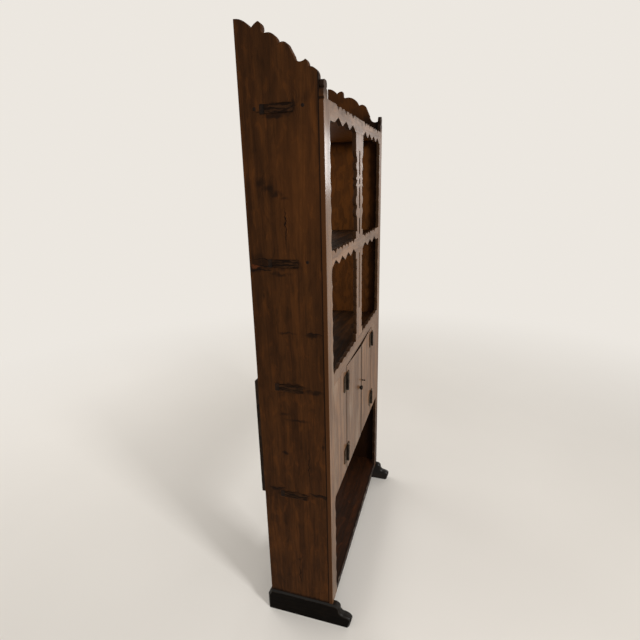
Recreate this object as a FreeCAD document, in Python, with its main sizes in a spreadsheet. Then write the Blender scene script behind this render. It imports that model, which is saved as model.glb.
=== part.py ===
import FreeCAD, Part
import math
import os
import Sketcher

# A free-standing plate cabinet: plank sides on sled feet, an open fretted rack above and a
# two-door cupboard below. Millimetres, +Z up, the front looks along -Y, the floor is Z zero
# and the origin lies under the middle of the whole outline.

doc = FreeCAD.newDocument("PlateCabinet")
sheet = doc.addObject("Spreadsheet::Sheet", "Sizes")

# Every driving dimension, with what it measures.
DIMENSIONS = [
    ("wide", 944, "over the outer faces of the side boards"),
    ("tall", 2050, "floor to the rear corner of a side board"),
    ("side_thick", 24, "side board"),
    ("side_deep", 236, "side board, front edge to rear edge"),
    ("crest_drop", 164, "height that the carved crest loses towards the front"),
    ("foot_high", 92, "sled foot, floor to the seat of the side board"),
    ("foot_thick", 32, "sled foot"),
    ("foot_proud", 6, "foot beyond the side board's outer face"),
    ("foot_toe", 72, "foot in front of the front frame"),
    ("foot_heel", 17, "foot behind the side board"),
    ("foot_ease", 7, "easing of the foot's long edges"),
    ("heel_cut_deep", 13, "slanted cut on the heel, along the foot"),
    ("heel_cut_high", 26, "slanted cut on the heel, upright"),
    ("base_thick", 26, "base board"),
    ("housing", 8, "depth of the rebate that holds the base board"),
    ("shelf_thick", 25, "shelves, cupboard floor and top board"),
    ("floor_height", 396, "clear height above the cupboard floor"),
    ("counter_height", 391, "clear height above the cupboard top"),
    ("middle_height", 407, "clear height above the middle shelf"),
    ("top_height", 49, "low end of the crest above the top board"),
    ("tenon_setback", 75, "tenon behind the side board's front edge"),
    ("tenon_long", 85, "through tenon, along the side board"),
    ("tenon_proud", 1.5, "tenon beyond the side board"),
    ("wedge_thick", 14, "wedge behind each tenon, at its outer end"),
    ("wedge_tip", 9, "the same wedge at its inner end"),
    ("joint_gap", 0.2, "clearance of a tenon in its mortise"),
    ("frame_thick", 14, "boards of the front frame"),
    ("stile_wide", 62, "stile"),
    ("stile_scallop", 7, "hollows along the stile's inner edge"),
    ("ear_wide", 38, "finial on a stile"),
    ("left_ear_high", 43, "left finial above the top rail"),
    ("right_ear_high", 66, "right finial above the top rail"),
    ("top_rail_low", 19, "top rail's tooth tips below the top board"),
    ("top_rail_high", 51, "top rail, tips to lobes"),
    ("middle_rail_low", 7, "middle rail's tooth tips below the middle shelf"),
    ("middle_rail_high", 51, "middle rail, tips to lobes"),
    ("counter_rail_low", 10, "counter rail's underside above that of the cupboard top"),
    ("counter_rail_high", 45, "counter rail"),
    ("tooth_deep", 19, "notch between two teeth of a fretted rail"),
    ("tooth_flat", 3, "blunt tip of a tooth"),
    ("cleft_deep", 13, "cleft above each notch"),
    ("dimple_deep", 7, "dimple above each tooth"),
    ("bead_deep", 6, "hollows between the counter rail's beads"),
    ("mullion_wide", 120, "blocks at the ends of a mullion"),
    ("mullion_offset", 13, "mullions left of the middle"),
    ("mullion_block", 26, "height of those blocks"),
    ("upper_slot", 20, "slot in the upper mullion"),
    ("lower_slot", 14, "slot in the lower mullion"),
    ("door_low", 13, "doors and fixed panels below the cupboard floor"),
    ("left_panel_wide", 173, "left fixed panel, stile to hinge line"),
    ("right_panel_wide", 152, "right fixed panel, stile to hinge line"),
    ("left_door_wide", 51, "left door wider than the right door"),
    ("door_gap", 3, "gap round a door"),
    ("meeting_gap", 7, "gap between the two doors"),
    ("door_sag", 15, "door tops, hinge edge to meeting edge"),
    ("rest_gap", 0.3, "door clear of the shelf edges that it closes on"),
    ("batten_thick", 16, "door batten"),
    ("batten_high", 46, "door batten"),
    ("batten_inset", 28, "batten short of the door's hinge edge"),
    ("batten_rise", 66, "batten's near edge from the door's bottom or top"),
    ("back_thick", 12, "back planks"),
    ("back_low", 8, "lowest back plank above the cupboard floor's underside"),
    ("back_high", 3, "highest back plank above the cupboard top"),
    ("plank_gap", 1, "open joint between back planks"),
    ("leaf_wide", 41, "hinge leaf, pin axis to outer end"),
    ("leaf_high", 66, "hinge leaf"),
    ("leaf_thick", 2.5, "hinge leaf"),
    ("leaf_nip", 8, "cut corners of a leaf"),
    ("barrel_radius", 5, "hinge barrel"),
    ("barrel_lift", 0.5, "barrel clear of the boards"),
    ("pin_radius", 2.4, "hinge pin"),
    ("pin_head_radius", 4, "hinge pin's head"),
    ("pin_head_high", 3, "hinge pin's head"),
    ("running_gap", 0.08, "radial clearance on pins and spindle"),
    ("knuckle_gap", 0.5, "end clearance between knuckles"),
    ("leaf_edge", 0.8, "leaf short of the pin axis"),
    ("upper_hinge_drop", 61, "upper hinge's middle below the counter rail"),
    ("lower_hinge_rise", 76, "lower hinge's middle above the door's bottom"),
    ("knob_inset", 33, "knob's axis from the meeting line"),
    ("knob_height", 247, "knob's axis above the door's bottom"),
    ("knob_radius", 11, "knob"),
    ("knob_long", 14, "knob in front of the door"),
    ("neck_radius", 5, "knob's neck"),
    ("spindle_radius", 4, "knob's spindle"),
    ("latch_long", 62, "latch bar, axis to tip"),
    ("latch_wide", 18, "latch bar"),
    ("latch_thick", 6, "latch bar"),
    ("latch_gap", 0.5, "latch bar and knob clear of the door"),
    ("latch_clear", 6, "battens clear of the upright latch bar"),
    ("pull_wide", 7, "pull peg on the right door"),
    ("pull_high", 8, "pull peg"),
    ("pull_long", 16, "pull peg in front of the door"),
    ("pull_inset", 4, "pull peg from the door's free edge"),
    ("pull_rise", 16, "pull peg's middle above the knob's axis"),
]

# Hand-chosen shares of the sizes above. A crest runs from the rear corner to the front edge: each
# stretch is the point it passes and the point it reaches, as shares of depth and of crest drop.
# A straight stretch passes None.
left_crest_shares = [
    ((0.89, 0.035), (0.79, 0.165)),
    ((0.75, 0.112), (0.70, 0.073)),
    ((0.675, 0.10), (0.664, 0.21)),
    ((0.65, 0.243), (0.62, 0.253)),
    ((0.53, 0.275), (0.47, 0.433)),
    ((0.41, 0.405), (0.335, 0.49)),
    (None, (0.285, 0.62)),
    ((0.245, 0.705), (0.19, 0.712)),
    ((0.166, 0.70), (0.148, 0.683)),
    ((0.128, 0.72), (0.12, 0.80)),
    ((0.045, 0.825), (0.0, 0.93)),
]
right_crest_shares = [
    ((0.905, 0.085), (0.82, 0.20)),
    ((0.765, 0.148), (0.71, 0.14)),
    ((0.70, 0.17), (0.695, 0.24)),
    ((0.68, 0.295), (0.645, 0.312)),
    ((0.47, 0.365), (0.385, 0.543)),
    ((0.31, 0.515), (0.24, 0.60)),
    (None, (0.175, 0.81)),
    ((0.125, 0.95), (0.06, 0.985)),
    (None, (0.0, 0.965)),
]
left_rear_share = 0.0
right_rear_share = 0.055

# The foot in front of the frame: shares of the toe's length and of the foot's height.
foot_toe_shares = [
    (None, (0.12, 1.0)),
    ((0.295, 0.94), (0.37, 0.78)),
    ((0.44, 0.63), (0.60, 0.55)),
    ((0.78, 0.525), (0.92, 0.475)),
    ((0.98, 0.43), (1.0, 0.35)),
    (None, (0.87, 0.0)),
]

# A finial: shares of its width, from its inner edge, and of its height. A nick parts it from
# the stile below.
ear_shares = [
    (None, (0.0, 0.24)),
    ((0.04, 0.46), (0.20, 0.56)),
    ((0.10, 0.88), (0.50, 1.0)),
    ((0.90, 0.88), (0.80, 0.56)),
    ((0.96, 0.46), (1.0, 0.24)),
    (None, (1.0, 0.06)),
    (None, (0.87, -0.05)),
    (None, (1.0, -0.16)),
]

# The upper mullion's edge from its lower block up, as shares of its clear height and half width:
# a tapered foot, a collar, swellings between waists, and two sharp barbs about its middle.
upper_edge_shares = [
    (None, (0.0, 0.62)),
    (None, (0.17, 0.72)),
    ((0.218, 0.95), (0.266, 0.72)),
    (None, (0.30, 0.72)),
    ((0.355, 0.99), (0.41, 0.72)),
    (None, (0.48, 0.72)),
    ((0.508, 0.80), (0.524, 1.03)),
    (None, (0.548, 0.74)),
    (None, (0.579, 0.74)),
    (None, (0.603, 1.03)),
    ((0.619, 0.80), (0.647, 0.72)),
    (None, (0.69, 0.72)),
    ((0.735, 0.95), (0.78, 0.72)),
    (None, (0.83, 0.72)),
    ((0.85, 0.90), (0.89, 1.0)),
    (None, (1.0, 1.0)),
]
upper_slot_shares = [(0.03, 0.20), (0.29, 0.51), (0.61, 0.85)]
link_slot_shares = (0.535, 0.585)
lower_slot_shares = [(0.34, 0.98)]
lower_waist_share = 0.72
lower_swell_share = 0.80
slat_waves = 8

stile_hollows = 6
beads_per_bay = 6

# Teeth in the left and the right bay of each fretted rail, and their pitch as a share of the bay.
# The carver set them out by eye, so no two bays agree.
top_teeth = (3, 4)
top_pitch_shares = (0.288, 0.242)
middle_teeth = (4, 3)
middle_pitch_shares = (0.249, 0.286)
back_planks = ("lower", "middle", "upper")

# The smith bent each hinge barrel round its pin in this many blows.
barrel_flats = 10

# The turned head of the knob from its neck to its crown: shares of its radius and of its length
# in front of the door. Then the flats round a pin's head and on the latch bar's tip.
knob_head_shares = [(1.0, 0.45), (0.92, 0.74), (0.5, 1.0)]
pin_flats = 8
latch_tip_share = 0.4


class Size:
    """A length: its value now and the sheet expression that gives it."""

    def __init__(self, value, text):
        self.value = value
        self.text = text

    def __add__(self, other):
        return Size(self.value + other.value, f"({self.text} + {other.text})")

    def __sub__(self, other):
        return Size(self.value - other.value, f"({self.text} - {other.text})")

    def __neg__(self):
        return Size(-self.value, f"(-1 * {self.text})")

    def __mul__(self, factor):
        return Size(self.value * factor, f"({self.text} * ({factor}))")

    __rmul__ = __mul__

    def __truediv__(self, factor):
        return Size(self.value / factor, f"({self.text} / {factor})")


def fill_sheet():
    """Write the dimensions into the sheet and hand them back by name."""
    for row, (name, value, note) in enumerate(DIMENSIONS, start=1):
        sheet.set(f"A{row}", note)
        sheet.set(f"B{row}", str(value))
        sheet.setAlias(f"B{row}", name)
    doc.recompute()
    return {name: Size(float(sheet.get(name)), f"Sizes.{name}") for name, _, _ in DIMENSIONS}


s = fill_sheet()
zero = Size(0.0, "0")

# Planes that several pieces share. The heights hang from the crest, so that the open space under
# the cupboard takes up a change in any of them.
top_underside = s["tall"] - s["crest_drop"] - s["top_height"] - s["shelf_thick"]
middle_underside = top_underside - s["middle_height"] - s["shelf_thick"]
counter_underside = middle_underside - s["counter_height"] - s["shelf_thick"]
floor_underside = counter_underside - s["floor_height"] - s["shelf_thick"]
shelf_heights = {
    "cupboard_floor": floor_underside,
    "cupboard_top": counter_underside,
    "middle_shelf": middle_underside,
    "top_board": top_underside,
}
top_rail_foot = top_underside - s["top_rail_low"]
top_rail_top = top_rail_foot + s["top_rail_high"]
middle_rail_foot = middle_underside - s["middle_rail_low"]
middle_rail_top = middle_rail_foot + s["middle_rail_high"]
counter_rail_foot = counter_underside + s["counter_rail_low"]
counter_rail_top = counter_rail_foot + s["counter_rail_high"]
door_foot = floor_underside - s["door_low"]
knob_line = door_foot + s["knob_height"]
half_wide = s["wide"] / 2
inner_half = half_wide - s["side_thick"]
stile_inner = half_wide - s["stile_wide"]
foot_long = s["foot_toe"] + s["frame_thick"] + s["side_deep"] + s["foot_heel"]
front_face = s["foot_toe"] - foot_long / 2
frame_back = front_face + s["frame_thick"]
rear_face = frame_back + s["side_deep"]
base_top = s["foot_high"] + s["base_thick"]
left_hinge_line = s["left_panel_wide"] - stile_inner
right_hinge_line = stile_inner - s["right_panel_wide"]
meeting_line = (left_hinge_line + right_hinge_line + s["left_door_wide"]) / 2
knob_axis = meeting_line - s["knob_inset"]
tenon_front = frame_back + s["tenon_setback"]
tenon_rear = tenon_front + s["tenon_long"]
mortise_rear = tenon_rear + s["wedge_thick"] + s["joint_gap"]
mullion_middle = -s["mullion_offset"]
mullion_left = mullion_middle - s["mullion_wide"] / 2
mullion_right = mullion_middle + s["mullion_wide"] / 2
hinge_axis_y = front_face - s["barrel_radius"] - s["barrel_lift"]

nodes = []


def bind(thing, sizes):
    """Tie properties of a document object to the sheet."""
    for name, size in sizes.items():
        thing.setExpression(name, size.text)


def place(thing, x, y, z):
    bind(thing, {"Placement.Base.x": x, "Placement.Base.y": y, "Placement.Base.z": z})


def node(thing, label):
    """Keep a finished sub-part under its own name."""
    thing.Label = label
    nodes.append(thing)
    return thing


def box(label, low, high):
    """A sawn board between two corners."""
    board = doc.addObject("Part::Box", label)
    sides = zip(("Length", "Width", "Height"), low, high)
    bind(board, {name: b - a for name, a, b in sides})
    place(board, *low)
    return node(board, label)


class Outline:
    """A closed outline of straight runs and arcs, drawn in a sketch's own plane."""

    def __init__(self, x, y):
        self.start = self.last = FreeCAD.Vector(x.value, y.value, 0)
        self.edges = []

    def line(self, x, y):
        point = FreeCAD.Vector(x.value, y.value, 0)
        self.edges.append(Part.LineSegment(self.last, point))
        self.last = point
        return self

    def arc(self, through, to):
        middle = FreeCAD.Vector(through[0].value, through[1].value, 0)
        point = FreeCAD.Vector(to[0].value, to[1].value, 0)
        self.edges.append(Part.Arc(self.last, middle, point))
        self.last = point
        return self

    def follow(self, stretches, spot):
        """Draw stretches written as shares; spot turns a pair of shares into a point."""
        for through, to in stretches:
            if through is None:
                self.line(*spot(*to))
            else:
                self.arc(spot(*through), spot(*to))
        return self

    def close(self):
        self.edges.append(Part.LineSegment(self.last, self.start))
        return self.edges


def rectangle(left, right, low, high):
    return Outline(left, low).line(right, low).line(right, high).line(left, high).close()


def rounded_slot(middle, wide, low, high):
    """An upright slot with half-round ends."""
    side = wide / 2
    slot = Outline(middle - side, low + side)
    slot.arc((middle, low), (middle + side, low + side))
    slot.line(middle + side, high - side)
    slot.arc((middle, high), (middle - side, high - side))
    return slot.close()


def new_body(label):
    return doc.addObject("PartDesign::Body", label)


def sketch(body, name, role, wires):
    """A sketch on one of the body's own planes, made of closed wires."""
    drawing = body.newObject("Sketcher::SketchObject", name)
    plane = next(p for p in body.Origin.OriginFeatures if p.Role == role)
    drawing.AttachmentSupport = (plane, [""])
    drawing.MapMode = "FlatFace"
    for wire in wires:
        drawing.addGeometry(wire, False)
    return drawing


def pad(body, role, wires, thick):
    """Saw a piece out of a board: its outlines, holes included, and the board's thickness."""
    feature = body.newObject("PartDesign::Pad", f"{body.Name}_pad")
    feature.Profile = sketch(body, f"{body.Name}_outline", role, wires)
    bind(feature, {"Length": thick})
    doc.recompute()
    return feature


def pocket(body, name, role, wires):
    """Cut right through the body on both sides of one of its planes."""
    before = body.Shape.Volume
    feature = body.newObject("PartDesign::Pocket", f"{body.Name}_{name}")
    feature.Profile = sketch(body, f"{body.Name}_{name}_outline", role, wires)
    feature.Type = "ThroughAll"
    feature.Midplane = True
    doc.recompute()
    if not body.Shape.Volume < before:
        raise ValueError(f"{feature.Name} cut nothing")
    return feature


def front_board(label, wires):
    """A board of the front frame: its outlines seen from the front, set in the frame's plane."""
    body = new_body(label)
    pad(body, "XZ_Plane", wires, s["frame_thick"])
    place(body, zero, frame_back, zero)
    return node(body, label)


def mortises():
    """The four through mortises of a side board, each long enough for a tenon and its wedge."""
    gap = s["joint_gap"]
    for height in shelf_heights.values():
        yield rectangle(tenon_front - gap, mortise_rear, height - gap, height + s["shelf_thick"] + gap)


def side_board(label, outer_sign, crest_shares, rear_share):
    """A plank side with a carved crest, four mortises and a rebate for the base board."""
    body = new_body(label)
    edge = Outline(frame_back, s["foot_high"]).line(rear_face, s["foot_high"])
    edge.line(rear_face, s["tall"] - s["crest_drop"] * rear_share)
    edge.follow(crest_shares, lambda deep, drop: (frame_back + s["side_deep"] * deep,
                                                  s["tall"] - s["crest_drop"] * drop))
    pad(body, "YZ_Plane", [edge.close(), *mortises()], s["side_thick"])
    low_corner = half_wide * outer_sign if outer_sign < 0 else inner_half
    inner_edge = s["side_thick"] if outer_sign < 0 else zero
    wall = inner_edge + s["housing"] * outer_sign
    pocket(body, "rebate", "XZ_Plane",
           [rectangle(wall, inner_edge, s["foot_high"], base_top)])
    place(body, low_corner, zero, zero)
    return node(body, label)


def foot_outline(shrink):
    """A sled foot seen from its side, drawn in at its ends and top by shrink."""
    rear = foot_long / 2
    long_share = 1 - shrink.value / rear.value
    high_share = 1 - shrink.value / s["foot_high"].value

    def spot(y, z):
        return y * long_share, z * high_share

    def toe_spot(out, up):
        return spot(front_face - s["foot_toe"] * out, s["foot_high"] * up)

    edge = Outline(*toe_spot(*foot_toe_shares[-1][1])).line(*spot(rear, zero))
    edge.line(*spot(rear, s["foot_high"] - s["heel_cut_high"]))
    edge.line(*spot(rear - s["heel_cut_deep"], s["foot_high"]))
    edge.line(*spot(front_face, s["foot_high"]))
    return edge.follow(foot_toe_shares, toe_spot).edges


def foot(label, outer_sign):
    """A sled foot with a shouldered toe, lofted so that its long edges are eased."""
    body = new_body(label)
    thick, ease = s["foot_thick"], s["foot_ease"]
    sections = []
    for number, (x, shrink) in enumerate(((zero, ease), (ease, zero), (thick - ease, zero), (thick, ease))):
        section = sketch(body, f"{label}_section_{number}", "YZ_Plane", [foot_outline(shrink)])
        bind(section, {"AttachmentOffset.Base.z": x})
        sections.append(section)
    loft = body.newObject("PartDesign::AdditiveLoft", f"{label}_loft")
    loft.Profile = sections[0]
    loft.Sections = sections[1:]
    loft.Ruled = True
    doc.recompute()
    outer = half_wide + s["foot_proud"]
    place(body, outer * outer_sign if outer_sign < 0 else outer - thick, zero, zero)
    return node(body, label)


def shelf(label, height):
    """A shelf between the sides, with a through tenon at each end."""
    body = new_body(label)
    tip = half_wide + s["tenon_proud"]
    plan = Outline(-inner_half, frame_back).line(inner_half, frame_back)
    plan.line(inner_half, tenon_front).line(tip, tenon_front).line(tip, tenon_rear)
    plan.line(inner_half, tenon_rear).line(inner_half, rear_face).line(-inner_half, rear_face)
    plan.line(-inner_half, tenon_rear).line(-tip, tenon_rear).line(-tip, tenon_front)
    plan.line(-inner_half, tenon_front)
    pad(body, "XY_Plane", [plan.close()], s["shelf_thick"])
    place(body, zero, zero, height)
    return node(body, label)


def base_board():
    """The lowest board: housed in the sides, and run forward between the stiles."""
    body = new_body("base_board")
    end = inner_half + s["housing"]
    plan = Outline(-stile_inner, front_face).line(stile_inner, front_face)
    plan.line(stile_inner, frame_back).line(end, frame_back).line(end, rear_face)
    plan.line(-end, rear_face).line(-end, frame_back).line(-stile_inner, frame_back)
    pad(body, "XY_Plane", [plan.close()], s["base_thick"])
    place(body, zero, zero, s["foot_high"])
    return node(body, "base_board")


def tenon_wedges(label, outer_sign):
    """The wedges behind the tenons of one side board, one solid each."""
    outer = half_wide * outer_sign
    inner = inner_half * outer_sign
    rear = mortise_rear - s["joint_gap"]
    corners = [(outer, rear), (inner, rear), (inner, rear - s["wedge_tip"]), (outer, tenon_rear)]
    wedges = []
    for height in shelf_heights.values():
        ring = [FreeCAD.Vector(x.value, y.value, height.value) for x, y in corners]
        face = Part.Face(Part.makePolygon(ring + ring[:1]))
        wedges.append(face.extrude(FreeCAD.Vector(0, 0, s["shelf_thick"].value)))
    group = doc.addObject("Part::Feature", label)
    group.Shape = Part.Compound(wedges)
    return node(group, label)


def scalloped_run(edge, x, hollow_x, low, high):
    """Hollows up the inner edge of a stile, from low to high."""
    step = (high - low) / stile_hollows
    for hollow in range(stile_hollows):
        start = low + step * hollow
        edge.arc((hollow_x, start + step / 2), (x, start + step))


def stile(label, outer_sign, ear_high):
    """A stile with scalloped bays and a carved finial on its outer corner."""
    outer = half_wide * outer_sign
    inner = stile_inner * outer_sign
    hollow = inner + s["stile_scallop"] * outer_sign
    edge = Outline(inner, s["foot_high"]).line(inner, base_top)
    scalloped_run(edge, inner, hollow, base_top, door_foot)
    edge.line(inner, counter_rail_top)
    scalloped_run(edge, inner, hollow, counter_rail_top, middle_rail_foot)
    edge.line(inner, middle_rail_top)
    scalloped_run(edge, inner, hollow, middle_rail_top, top_rail_foot)
    edge.line(inner, top_rail_top)
    ear_inner = outer - s["ear_wide"] * outer_sign
    edge.line(ear_inner, top_rail_top)
    edge.follow(ear_shares, lambda across, up: (ear_inner + s["ear_wide"] * (across * outer_sign),
                                                top_rail_top + ear_high * up))
    edge.line(outer, s["foot_high"])
    return front_board(label, [edge.close()])


def tooth_run(edge, spots, low):
    """Teeth along the bottom of a rail: a sawn notch between each two of the given tips."""
    blunt = s["tooth_flat"] / 2
    for tip, next_tip in zip(spots, spots[1:]):
        edge.line(tip + blunt, low)
        edge.line((tip + next_tip) / 2, low + s["tooth_deep"])
        edge.line(next_tip - blunt, low)


def lobe_run(edge, spots, high):
    """Pairs of round lobes along the top of a rail: a cleft over each notch, a dimple between."""
    edge.line(spots[0], high)
    for number, (start, end) in enumerate(zip(spots, spots[1:]), start=2):
        middle = (start + end) / 2
        dip = s["dimple_deep"] if number < len(spots) else zero
        edge.arc(((start + middle) / 2, high), (middle, high - s["cleft_deep"]))
        edge.arc(((middle + end) / 2, high), (end, high - dip))


def fretted_rail(label, low, high, teeth, pitch_shares):
    """A rail whose edges are chains of hearts: twin lobes on top, a tooth below."""
    left_pitch = (mullion_left + stile_inner) * pitch_shares[0]
    right_pitch = (stile_inner - mullion_right) * pitch_shares[1]
    left_tips = [mullion_left - left_pitch * number for number in reversed(range(teeth[0] + 1))]
    right_tips = [mullion_right + right_pitch * number for number in range(teeth[1] + 1)]
    edge = Outline(-stile_inner, low)
    tooth_run(edge, left_tips, low)
    tooth_run(edge, right_tips, low)
    edge.line(stile_inner, low).line(stile_inner, high)
    lobe_run(edge, right_tips[::-1], high)
    lobe_run(edge, left_tips[::-1], high)
    edge.line(-stile_inner, high)
    return front_board(label, [edge.close()])


def bead_run(edge, start, end):
    """A row of beads along the top of one bay of the counter rail."""
    hollow = counter_rail_top - s["bead_deep"]
    step = (end - start) / beads_per_bay
    edge.line(start, hollow)
    for number in range(beads_per_bay):
        edge.arc((start + step * (number + 0.5), counter_rail_top), (start + step * (number + 1), hollow))


def counter_rail():
    """A rail with a straight lower edge and beads along its top, flat under the mullion."""
    low = counter_rail_foot
    edge = Outline(-stile_inner, low).line(stile_inner, low)
    bead_run(edge, stile_inner, mullion_right)
    edge.line(mullion_right, counter_rail_top).line(mullion_left, counter_rail_top)
    bead_run(edge, mullion_left, -stile_inner)
    return front_board("counter_rail", [edge.close()])


def mullion(label, low, high, stretches, holes):
    """A pierced upright between two rails: an end block, a carved run and the other block."""
    half = s["mullion_wide"] / 2
    foot_line = low + s["mullion_block"]
    clear = high - s["mullion_block"] - foot_line
    edge = Outline(mullion_right, low).line(mullion_right, foot_line)
    edge.follow(stretches, lambda up, out: (mullion_middle + half * out, foot_line + clear * up))
    edge.line(mullion_right, high).line(mullion_left, high)
    edge.line(mullion_left, high - s["mullion_block"])
    edge.follow(turned_back(stretches),
                lambda up, out: (mullion_middle - half * out, foot_line + clear * up))
    edge.line(mullion_left, low)
    return front_board(label, [edge.close(), *holes])


def turned_back(stretches):
    """The same stretches drawn from their far end back to the start of the first."""
    reached = [(0.0, 1.0)] + [to for _, to in stretches]
    throughs = [through for through, _ in stretches]
    back = list(zip(reversed(throughs), reversed(reached[:-1])))
    return [stretch for stretch in back if stretch[1] != reached[-1]]


def pierced(low, high, shares, wide):
    """Upright slots on the middle line between two heights."""
    clear = high - low
    return [rounded_slot(mullion_middle, wide, low + clear * a, low + clear * b) for a, b in shares]


def upper_mullion():
    low, high = middle_rail_top, top_rail_foot
    holes = pierced(low, high, upper_slot_shares, s["upper_slot"])
    link = [low + (high - low) * share for share in link_slot_shares]
    side = s["upper_slot"] / 2
    holes.append(rectangle(mullion_middle - side, mullion_middle + side, *link))
    return mullion("upper_mullion", low, high, upper_edge_shares, holes)


def lower_mullion():
    low, high = counter_rail_top, middle_rail_foot
    waves = [(None, (0.0, lower_waist_share))]
    for wave in range(slat_waves):
        waves.append((((wave + 0.5) / slat_waves, lower_swell_share),
                      ((wave + 1) / slat_waves, lower_waist_share)))
    waves.append((None, (1.0, 1.0)))
    return mullion("lower_mullion", low, high, waves,
                   pierced(low, high, lower_slot_shares, s["lower_slot"]))


def door(label, hinge_line, sign):
    """A plank door whose top edge falls towards the meeting line; sign points to the free edge."""
    body = new_body(label)
    gap = s["door_gap"]
    hinge_edge = hinge_line + gap / 2 * sign
    free_edge = meeting_line - s["meeting_gap"] / 2 * sign
    top = counter_rail_foot - gap
    edge = Outline(hinge_edge, door_foot).line(free_edge, door_foot)
    edge.line(free_edge, top - s["door_sag"]).line(hinge_edge, top)
    pad(body, "XZ_Plane", [edge.close()], s["frame_thick"] - s["rest_gap"])
    place(body, zero, frame_back - s["rest_gap"], zero)
    return node(body, label)


def spindle_hole(body):
    """Bore the left door for the knob's spindle."""
    hole = body.newObject("PartDesign::Pocket", "spindle_bore")
    bore = s["spindle_radius"] + s["running_gap"]
    middle = FreeCAD.Vector(knob_axis.value, knob_line.value, 0)
    ring = Part.Circle(middle, FreeCAD.Vector(0, 0, 1), bore.value)
    drawing = sketch(body, "spindle_bore_outline", "XZ_Plane", [[ring]])
    drawing.addConstraint(Sketcher.Constraint("Radius", 0, bore.value))
    bind(drawing, {"Constraints[0]": bore})
    hole.Profile = drawing
    hole.Type = "ThroughAll"
    hole.Midplane = True
    before = body.Shape.Volume
    doc.recompute()
    if not body.Shape.Volume < before:
        raise ValueError("the spindle bore cut nothing")


def battens(side, hinge_line, sign):
    """Two battens across the inside of a door, cut short of the latch bar's room."""
    latch_room = s["knob_inset"] + s["latch_wide"] / 2 + s["latch_clear"]
    ends = [hinge_line + s["batten_inset"] * sign, meeting_line - latch_room * sign]
    left, right = ends if sign > 0 else reversed(ends)
    back = frame_back - s["rest_gap"]
    lows = {"lower": door_foot + s["batten_rise"],
            "upper": counter_rail_foot - s["batten_rise"] - s["batten_high"]}
    for level, low in lows.items():
        box(f"{side}_{level}_batten", (left, back, low),
            (right, back + s["batten_thick"], low + s["batten_high"]))


def leaf_profile(sign):
    """A leaf seen along the pin: a flat plate bent round in flats into a barrel with a bore."""
    radius = s["barrel_radius"]
    face = radius + s["barrel_lift"]
    front = face - s["leaf_thick"]
    bend_from = math.asin(front.value / radius.value)
    bend_to = math.acos(s["leaf_edge"].value / radius.value) - math.tau
    edge = Outline(s["leaf_wide"] * sign, front)
    for number in range(barrel_flats + 1):
        angle = bend_from + (bend_to - bend_from) * number / barrel_flats
        edge.line(radius * (math.cos(angle) * sign), radius * math.sin(angle))
    edge.line(s["leaf_edge"] * sign, face).line(s["leaf_wide"] * sign, face)
    bore = s["pin_radius"] + s["running_gap"]
    ring = Part.Circle(FreeCAD.Vector(0, 0, 0), FreeCAD.Vector(0, 0, 1), bore.value)
    return [edge.close(), [ring]]


def hinge_leaf(label, axis_x, low, sign, keeps_middle):
    """A leaf with either the middle knuckle or the two outer ones."""
    body = new_body(label)
    pad(body, "XY_Plane", leaf_profile(sign), s["leaf_high"])
    third = s["leaf_high"] / 3
    clear = s["barrel_radius"] + s["knuckle_gap"]
    gap = s["knuckle_gap"] / 2
    if keeps_middle:
        rooms = [(-gap, third + gap), (third * 2 - gap, s["leaf_high"] + gap)]
    else:
        rooms = [(third - gap, third * 2 + gap)]
    pocket(body, "knuckles", "XZ_Plane", [rectangle(-clear, clear, a, b) for a, b in rooms])
    nip = s["leaf_nip"]
    end = s["leaf_wide"] * sign
    corners = []
    for z, turn in ((zero, 1), (s["leaf_high"], -1)):
        corners.append(Outline(end, z).line(end - nip * sign, z).line(end, z + nip * turn).close())
    pocket(body, "nips", "XZ_Plane", corners)
    place(body, axis_x, hinge_axis_y, low)
    return node(body, label)


def hinge_pin(label, axis_x, low):
    """A pin with a head, hammered into flats, that rests on the top knuckle."""
    body = new_body(label)
    length = s["leaf_high"]
    radius = s["pin_radius"]
    turn(body, Outline(zero, -length).line(radius, -length).line(radius, zero).line(zero, zero).close())
    head = s["pin_head_radius"]
    edge = Outline(head, zero)
    for number in range(1, pin_flats):
        angle = math.tau * number / pin_flats
        edge.line(head * math.cos(angle), head * math.sin(angle))
    pad(body, "XY_Plane", [edge.close()], s["pin_head_high"])
    place(body, axis_x, hinge_axis_y, low + length)
    return node(body, label)


def turn(body, wire):
    """Turn a profile about the upright axis of its sketch."""
    drawing = sketch(body, f"{body.Name}_outline", "XZ_Plane", [wire])
    feature = body.newObject("PartDesign::Revolution", f"{body.Name}_turned")
    feature.Profile = drawing
    feature.ReferenceAxis = (drawing, ["V_Axis"])
    doc.recompute()
    return feature


def hinges(side, axis_x, door_sign):
    """The two hinges of a door; door_sign points from the axis to the door."""
    middles = {"upper": counter_rail_foot - s["upper_hinge_drop"],
               "lower": door_foot + s["lower_hinge_rise"]}
    for level, middle in middles.items():
        name = f"{side}_{level}"
        low = middle - s["leaf_high"] / 2
        hinge_leaf(f"{name}_frame_leaf", axis_x, low, -door_sign, False)
        hinge_leaf(f"{name}_door_leaf", axis_x, low, door_sign, True)
        hinge_pin(f"{name}_hinge_pin", axis_x, low)


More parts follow.
